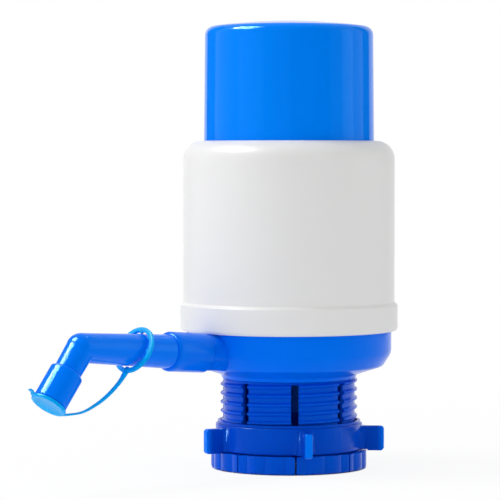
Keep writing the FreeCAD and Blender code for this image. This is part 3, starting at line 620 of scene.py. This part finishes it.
nozzleCap()
tetherStrap(tetherRing())
print("tether made")


# Threaded collet with its fingers, and the winged nut

# A plain box between two corners, with its place in its mesh
def boxAt(low, high):
    deselectAll()
    bpy.ops.mesh.primitive_cube_add(size=1)
    piece = bpy.context.object
    piece.scale = [b - a for a, b in zip(low, high)]
    piece.location = [(a + b) / 2 for a, b in zip(low, high)]
    bpy.ops.object.transform_apply(location=True, rotation=True, scale=True)
    return piece


# Copies of a piece turned round the pump's axis, joined into one
def turnCopies(piece, count, phase):
    copies = []
    for index in range(count):
        copy = piece.copy()
        copy.data = piece.data.copy()
        scene.collection.objects.link(copy)
        copy.data.transform(Matrix.Rotation(math.radians(phase + 360 * index / count), 4, "Z"))
        copies.append(copy)
    bpy.data.objects.remove(piece)
    return joinPieces("cutters", copies)


# A trapezoid carried up a helix by the screw modifier, with its two ends filled
def threadRidge(size):
    deselectAll()
    root = size["root"] - size["ridgeSink"]
    corners = [(root, -size["flank"]), (size["crest"], -size["land"]), (size["crest"], size["land"]),
               (root, size["flank"])]
    bpy.ops.mesh.primitive_circle_add(vertices=len(corners), radius=size["flank"])
    ridge = bpy.context.object
    for vert, (radius, height) in zip(ridge.data.vertices, corners):
        vert.co = (radius, 0, size["threadStart"] + height)
    applyMod(ridge, "SCREW", screw_offset=size["pitch"], steps=size["ridgeSteps"],
             render_steps=size["ridgeSteps"], iterations=size["turns"], use_merge_vertices=False)
    bpy.ops.object.mode_set(mode="EDIT")
    bpy.ops.mesh.select_all(action="DESELECT")
    bpy.ops.mesh.select_non_manifold()
    bpy.ops.mesh.edge_face_add()
    bpy.ops.mesh.select_all(action="SELECT")
    bpy.ops.mesh.normals_make_consistent(inside=False)
    bpy.ops.object.mode_set(mode="OBJECT")
    return ridge


# A tall prism with rounded lobes all round, which gives the foot its finger grip
def footLobes(size):
    width = 360 / size["lobes"]
    steps = 4  # rings of vertices from a lobe's middle to its valley
    outer = size["foot"] - size["lobeInset"]
    deselectAll()
    bpy.ops.mesh.primitive_cylinder_add(vertices=size["lobes"] * steps * 2, radius=outer,
                                        depth=size["lobeTall"],
                                        rotation=(0, 0, math.radians(size["phase"])))
    prism = bpy.context.object
    bpy.ops.object.transform_apply(location=True, rotation=True, scale=True)

    def lobeShare(place):  # 0 at the middle of a lobe, 1 in the valley beside it
        angle = math.degrees(math.atan2(place.y, place.x)) - size["phase"]
        return abs((angle + width / 2) % width - width / 2) / (width / 2)

    for step in range(1, steps + 1):
        share = step / steps
        selectVerts(prism, lambda place: abs(lobeShare(place) - share) < 0.5 / steps)
        shrink = 1 - size["lobeDepth"] * share ** 2 / outer
        bpy.ops.transform.resize(value=(shrink, shrink, 1), center_override=(0, 0, 0))
        bpy.ops.object.mode_set(mode="OBJECT")
    return prism


def neckCollet():
    size = {"grip": 0.0278, "gripTop": 0.022, "relief": 0.0284, "root": 0.0299, "crest": 0.031,
            "flank": 0.00155, "land": 0.00035, "threadStart": 0.012, "pitch": 0.004, "turns": 7,
            "ridgeSink": 0.0005, "ridgeSteps": 72, "ridgeGap": 0.0003, "gripRound": 0.0005,
            "gripTaper": 0.0008, "foot": 0.0355, "footTop": 0.008, "footRound": 0.0015, "fillet": 0.0006,
            "filletRound": 0.0004, "filletTop": 0.0115, "topRound": 0.0002, "spigot": 0.0293,
            "top": 0.0404, "spigotTop": 0.046, "slots": 8, "slot": 0.0034, "slotSink": 0.0002,
            "slotTop": 0.0394, "slit": 0.0008, "slitRise": 0.0005, "cutStart": 0.02, "cutPast": 0.001,
            "coverSpan": 0.05, "coverTop": 0.06, "phase": -130.0, "lobes": 24, "lobeDepth": 0.0009,
            "lobeInset": 0.00015, "lobeTall": 0.2}
    collet = turnedPiece("neckCollet", [
        (size["grip"], 0, size["gripRound"]), (size["foot"], 0, size["footRound"]),
        (size["foot"], size["footTop"], size["footRound"] / 2),
        (size["root"] + size["fillet"], size["footTop"], size["filletRound"]),
        (size["root"], size["filletTop"]), (size["root"], size["top"], size["topRound"]),
        (size["spigot"], size["top"]), (size["spigot"], size["spigotTop"]),
        (size["relief"], size["spigotTop"]), (size["relief"], size["gripTop"] + size["gripTaper"]),
        (size["grip"], size["gripTop"])], sides=144)
    lobes = footLobes(size)
    applyMod(collet, "BOOLEAN", operation="INTERSECT", solver="EXACT", object=lobes)
    bpy.data.objects.remove(lobes)
    ridge = threadRidge(size)
    span = size["coverSpan"]  # a cover cuts the ridge off under the base
    cover = boxAt((-span, -span, size["top"] - size["ridgeGap"]), (span, span, size["coverTop"]))
    applyMod(ridge, "BOOLEAN", operation="DIFFERENCE", solver="EXACT", object=cover)
    bpy.data.objects.remove(cover)
    applyMod(collet, "BOOLEAN", operation="UNION", solver="EXACT", object=ridge)
    bpy.data.objects.remove(ridge)
    reach = size["foot"] + size["cutPast"]
    slotFloor = size["footTop"] - size["slotSink"]
    slitTop = size["footTop"] + size["slitRise"]
    cuts = [(size["slot"] / 2, slotFloor, size["slotTop"]), (size["slit"] / 2, -size["cutPast"], slitTop)]
    cutters = []
    for half, lowZ, highZ in cuts:
        cut = boxAt((size["cutStart"], -half, lowZ), (reach, half, highZ))
        cutters.append(turnCopies(cut, size["slots"], size["phase"]))
    for cutter in cutters:
        applyMod(collet, "BOOLEAN", operation="DIFFERENCE", solver="EXACT", object=cutter)
        bpy.data.objects.remove(cutter)
    editAll(collet)
    sliver = 2e-6
    bpy.ops.mesh.remove_doubles(threshold=sliver)
    bpy.ops.mesh.dissolve_degenerate(threshold=sliver)
    bpy.ops.object.mode_set(mode="OBJECT")
    smoothen(collet, 25)
    dress(collet, "housing", materials["colletBlue"], "neck_collet")


neckCollet()


# The nut keeps the shape of its solid, merged so that it shades smoothly
def clampNut():
    piece = bpy.data.objects.new("clampNut", nodes["clamp_nut"].data.copy())
    scene.collection.objects.link(piece)
    editAll(piece)
    bpy.ops.mesh.remove_doubles(threshold=1e-6)
    bpy.ops.object.mode_set(mode="OBJECT")
    smoothen(piece, 30)
    dress(piece, "nut", materials["nutBlue"], "clamp_nut")


clampNut()
print("collet and nut made")


# The bellows rides with the cap, and the other inner pieces keep their solids

def bellows():
    low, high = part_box("bellows")
    size = {"flange": 0.0348, "flangeHeight": 0.0012, "neck": 0.0046, "crest": 0.034, "root": 0.0265,
            "wall": 0.0009, "crestWall": 1.6, "rootRound": 0.0006, "crestRound": 0.0007, "folds": 10,
            "pitch": 0.0089, "topFlange": 0.0295, "topFlangeHeight": 0.001}
    outline = [(size["root"] - size["wall"], low.z), (size["flange"], low.z),
               (size["flange"], low.z + size["flangeHeight"]), (size["root"], low.z + size["flangeHeight"])]
    back = []
    for fold in range(size["folds"]):
        foldZ = low.z + size["neck"] + fold * size["pitch"]
        crestZ = foldZ + size["pitch"] / 2
        outline += [(size["root"], foldZ, size["rootRound"]), (size["crest"], crestZ, size["crestRound"])]
        back += [(size["root"] - size["wall"], foldZ),
                 (size["crest"] - size["wall"] * size["crestWall"], crestZ)]
    topZ = high.z - size["topFlangeHeight"]
    outline += [(size["root"], topZ), (size["topFlange"], topZ), (size["topFlange"], high.z),
                (size["root"] - size["wall"], high.z)]
    piece = turnedPiece("bellowsSkin", outline + back[::-1], sides=64)
    smoothen(piece, 60)
    dress(piece, "plunger", materials["bellowsMilk"], "bellows")
    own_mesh(piece)


bellows()
innerLooks = {
    "neck_seal": "sealPale", "riser": "innerBlue", "riser_seal": "sealPale", "air_deck": "innerBlue",
    "outlet_valve": "siliconeClear", "deck_seal": "sealPale", "bellows_clamp_ring": "innerBlue",
    "deck_screws": "screwSteel", "bellows_head": "innerBlue", "intake_valve": "siliconeClear",
    "head_screws": "screwSteel", "slip_ring": "nutBlue", "spout_seal": "sealPale",
}
for node, look in innerLooks.items():
    nodes[node].data.materials.clear()
    nodes[node].data.materials.append(materials[look])
print("inner pieces dressed:", len(innerLooks))


# Camera at the photograph's place: level with the pump's shoulder, spout turned towards it
camera = {"azimuth": -45.0, "distance": 1.2, "height": 0.1403, "lens": 190.9, "sensor": 36.0,
          "clipStart": 0.05, "aimSide": -0.01765, "aimHeight": 0.0982}
azimuth = math.radians(camera["azimuth"])
toCamera = Vector((math.sin(azimuth), -math.cos(azimuth), 0))
cameraRight = Vector((math.cos(azimuth), math.sin(azimuth), 0))
cameraData = bpy.data.cameras.new("camera")
cameraData.lens = camera["lens"]
cameraData.sensor_width = camera["sensor"]
cameraData.clip_start = camera["clipStart"]
cameraObject = bpy.data.objects.new("camera", cameraData)
scene.collection.objects.link(cameraObject)
cameraObject.location = toCamera * camera["distance"] + Vector((0, 0, camera["height"]))
aim = cameraRight * camera["aimSide"] + Vector((0, 0, camera["aimHeight"]))
cameraObject.rotation_mode = "QUATERNION"
cameraObject.rotation_quaternion = (aim - cameraObject.location).to_track_quat("-Z", "Y")
scene.camera = cameraObject


# Plain pale studio

studio = {"aimHeight": 0.1, "cardHeight": 0.1, "cardColour": (0.01, 0.01, 0.01, 1), "worldLight": 0.6,
          "floorRadius": 4.0, "floorHeight": -0.0002, "floorColour": (0.9, 0.9, 0.9, 1),
          "floorRoughness": 0.9, "fadeStart": 0.06, "fadeEnd": 0.4, "fadeLow": 0.9, "footRadius": 0.035}


# An area lamp aimed at the pump; side is to the camera's right and front is towards the camera, in metres
def softbox(name, side, front, height, width, tall, power):
    lampData = bpy.data.lights.new(name, "AREA")
    lampData.shape = "RECTANGLE"
    lampData.size = width
    lampData.size_y = tall
    lampData.energy = power
    lamp = bpy.data.objects.new(name, lampData)
    scene.collection.objects.link(lamp)
    lamp.location = cameraRight * side + toCamera * front + Vector((0, 0, height))
    lamp.rotation_mode = "QUATERNION"
    lamp.rotation_quaternion = (Vector((0, 0, studio["aimHeight"])) - lamp.location).to_track_quat("-Z", "Y")
    return lamp


lampSettings = {
    "keyLeft": {"side": -1.2, "front": 0.9, "height": 0.3, "width": 1.0, "tall": 1.4, "power": 5.8},
    "topKey": {"side": -0.55, "front": -0.02, "height": 1.03, "width": 0.36, "tall": 0.36, "power": 3.8},
    "streak": {"side": -0.706, "front": 0.14, "height": 0.955, "width": 0.66, "tall": 0.45, "power": 80.0},
    "fillRight": {"side": 1.45, "front": 0.1, "height": 0.3, "width": 0.5, "tall": 1.2, "power": 3.2},
}
lamps = {name: softbox(name, **settings) for name, settings in lampSettings.items()}
lamps["topKey"].visible_glossy = False
lamps["streak"].visible_diffuse = False  # it only makes the bright streaks in the gloss


# A black card between two angles from the camera; only reflections see it, as a dark band in the gloss
def darkCard(left, right, distance, tall):
    deselectAll()
    middle = math.radians((left + right) / 2)
    half = distance * math.tan(math.radians(right - left) / 2)
    bpy.ops.mesh.primitive_plane_add(size=1)
    card = bpy.context.object
    card.name = "darkCard"
    card.scale = (2 * half, tall, 1)
    card.rotation_mode = "QUATERNION"
    outward = toCamera * math.cos(middle) + cameraRight * math.sin(middle)
    card.rotation_quaternion = (-outward).to_track_quat("Z", "Y")
    card.location = outward * distance + Vector((0, 0, studio["cardHeight"]))
    material = bpy.data.materials.new("cardBlack")
    material.use_nodes = True
    shader = material.node_tree.nodes["Principled BSDF"]
    shader.inputs["Base Color"].default_value = studio["cardColour"]
    shader.inputs["Roughness"].default_value = 1.0
    card.data.materials.append(material)
    card.visible_camera = False
    card.visible_diffuse = False
    card.visible_transmission = False
    card.visible_shadow = False


for settings in ({"left": 1.4, "right": 55.6, "distance": 0.7, "tall": 1.6},
                 {"left": 118, "right": 138, "distance": 0.9, "tall": 1.6},
                 {"left": -147, "right": -118, "distance": 0.9, "tall": 1.6}):
    darkCard(**settings)


# The world looks full white, and lights the pump with less
def studioWorld():
    world = bpy.data.worlds.new("studio")
    scene.world = world
    world.use_nodes = True
    tree = world.node_tree
    link = tree.links.new
    path = tree.nodes.new("ShaderNodeLightPath")
    seen = mathNode(tree, "MAXIMUM", path.outputs["Is Camera Ray"], path.outputs["Is Glossy Ray"])
    seen = mathNode(tree, "MAXIMUM", seen, path.outputs["Is Transmission Ray"])
    extra = mathNode(tree, "MULTIPLY", seen, 1 - studio["worldLight"])
    strength = mathNode(tree, "ADD", extra, studio["worldLight"])
    background = tree.nodes["Background"]
    background.inputs["Color"].default_value = (1, 1, 1, 1)
    link(strength, background.inputs["Strength"])


# A white floor that fades to a soft grey round the pump
def studioFloor():
    deselectAll()
    bpy.ops.mesh.primitive_circle_add(vertices=96, radius=studio["floorRadius"], fill_type="NGON",
                                      location=(0, 0, studio["floorHeight"]))
    floor = bpy.context.object
    floor.name = "studioFloor"
    bpy.ops.object.transform_apply(location=True, rotation=True, scale=True)
    material = bpy.data.materials.new("paleFloor")
    material.use_nodes = True
    tree = material.node_tree
    shader = tree.nodes["Principled BSDF"]
    shader.inputs["Base Color"].default_value = studio["floorColour"]
    shader.inputs["Roughness"].default_value = studio["floorRoughness"]
    path = tree.nodes.new("ShaderNodeLightPath")
    seen = mathNode(tree, "MAXIMUM", path.outputs["Is Camera Ray"], path.outputs["Is Glossy Ray"])
    glow = tree.nodes.new("ShaderNodeEmission")
    mix = tree.nodes.new("ShaderNodeMixShader")
    coords = tree.nodes.new("ShaderNodeTexCoord")
    reach = tree.nodes.new("ShaderNodeVectorMath")
    reach.operation = "LENGTH"
    tree.links.new(coords.outputs["Object"], reach.inputs[0])
    fade = tree.nodes.new("ShaderNodeMapRange")
    for label, value in (("From Min", studio["fadeStart"]), ("From Max", studio["fadeEnd"]),
                         ("To Min", studio["fadeLow"]), ("To Max", 1.0)):
        fade.inputs[label].default_value = value
    tree.links.new(reach.outputs["Value"], fade.inputs["Value"])
    outside = mathNode(tree, "GREATER_THAN", reach.outputs["Value"], studio["footRadius"])  # dark in the foot
    share = mathNode(tree, "MULTIPLY", outside, fade.outputs["Result"])
    tree.links.new(mathNode(tree, "MULTIPLY", seen, share), mix.inputs[0])
    tree.links.new(shader.outputs[0], mix.inputs[1])
    tree.links.new(glow.outputs[0], mix.inputs[2])
    tree.links.new(mix.outputs[0], tree.nodes["Material Output"].inputs["Surface"])
    floor.data.materials.append(material)


studioWorld()
studioFloor()
scene.view_settings.view_transform = "Standard"
print("studio made")
